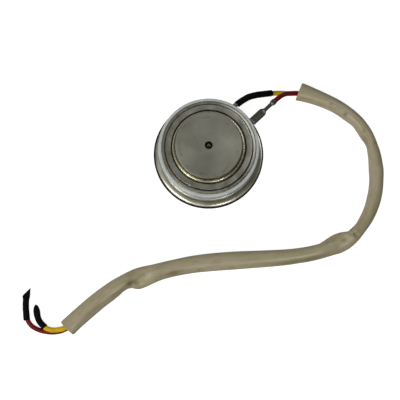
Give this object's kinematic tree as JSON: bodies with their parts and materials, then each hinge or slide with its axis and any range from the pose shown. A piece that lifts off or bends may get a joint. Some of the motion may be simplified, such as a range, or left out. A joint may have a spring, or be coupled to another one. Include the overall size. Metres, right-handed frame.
{
  "type": "press-pack thyristor",
  "caption": "Disc-cell power thyristor: two copper contacts in a ceramic ring with flared metal skirt, spring gate contact, and sleeved gate and cathode leads.",
  "frame": {"origin": "centre of the anode contact face, on the capsule's axis, at the surface it stands on", "axes": "+Z along the capsule's axis from anode face to cathode face; the terminals leave towards +X +Y at 43 degrees from +X"},
  "size_m": [0.1809, 0.1273, 0.026],
  "materials": {
    "nickel_copper": "satin nickel plate over copper",
    "nickel_sheet": "satin nickel-plated sheet",
    "ceramic_glaze": "white glazed alumina",
    "molybdenum": "lapped",
    "silicon": "polished, aluminium metallised",
    "silicone_rubber": "matte",
    "ptfe": "matte",
    "silver_wire": "bright",
    "tinned_brass": "dull tin plate",
    "spring_steel": "drawn",
    "yellow_insulation": "satin",
    "red_insulation": "satin",
    "beige_sleeve": "soft satin",
    "black_shrink": "matte"
  },
  "bodies": {
    "housing": {"ceramic_ring": "ceramic_glaze", "cathode_flange": "nickel_sheet", "anode_skirt": "nickel_sheet", "anode_flange": "nickel_sheet", "anode_pole": "nickel_copper", "anode_seal_ring": "nickel_copper", "molybdenum_disc": "molybdenum", "silicon_wafer": "silicon", "edge_rubber": "silicone_rubber", "cathode_washer": "molybdenum", "centring_ring": "ptfe", "gate_tube": "nickel_copper", "gate_wire": "silver_wire", "gate_wire_sleeve": "ptfe", "cathode_tab": "tinned_brass", "cathode_strap": "silver_wire", "gate_heat_shrink": "black_shrink", "gate_lead": "yellow_insulation", "cathode_lead": "red_insulation", "lead_sleeve": "beige_sleeve", "gate_end_cap": "black_shrink", "cathode_end_cap": "black_shrink"},
    "cathode_contact": {"cathode_pole": "nickel_copper", "cathode_seal_ring": "nickel_copper", "gate_guide": "ptfe", "gate_spring_seat": "ptfe"},
    "gate_contact": {"gate_pin": "silver_wire", "gate_spring": "spring_steel"},
    "cathode_terminal": {"terminal_receptacle": "tinned_brass"}
  },
  "joints": [
    {"name": "cathode_press", "type": "slide", "parent": "housing", "child": "cathode_contact", "axis": [0, 0, -1], "range_m": [0, 0.0002], "stiffness_N_per_m": 100000, "deforming": ["cathode_flange", "cathode_strap", "gate_spring"]},
    {"name": "gate_pin_slide", "type": "slide", "parent": "housing", "child": "gate_contact", "axis": [0, 0, 1], "range_m": [0, 0.0008], "stiffness_N_per_m": 1000, "springref_m": -0.002, "deforming": ["gate_spring", "gate_wire"]},
    {"name": "terminal_pull_off", "type": "slide", "parent": "housing", "child": "cathode_terminal", "axis": [0.7314, 0.682, 0], "range_m": [0, 0.0065], "deforming": ["cathode_lead"]}
  ]
}
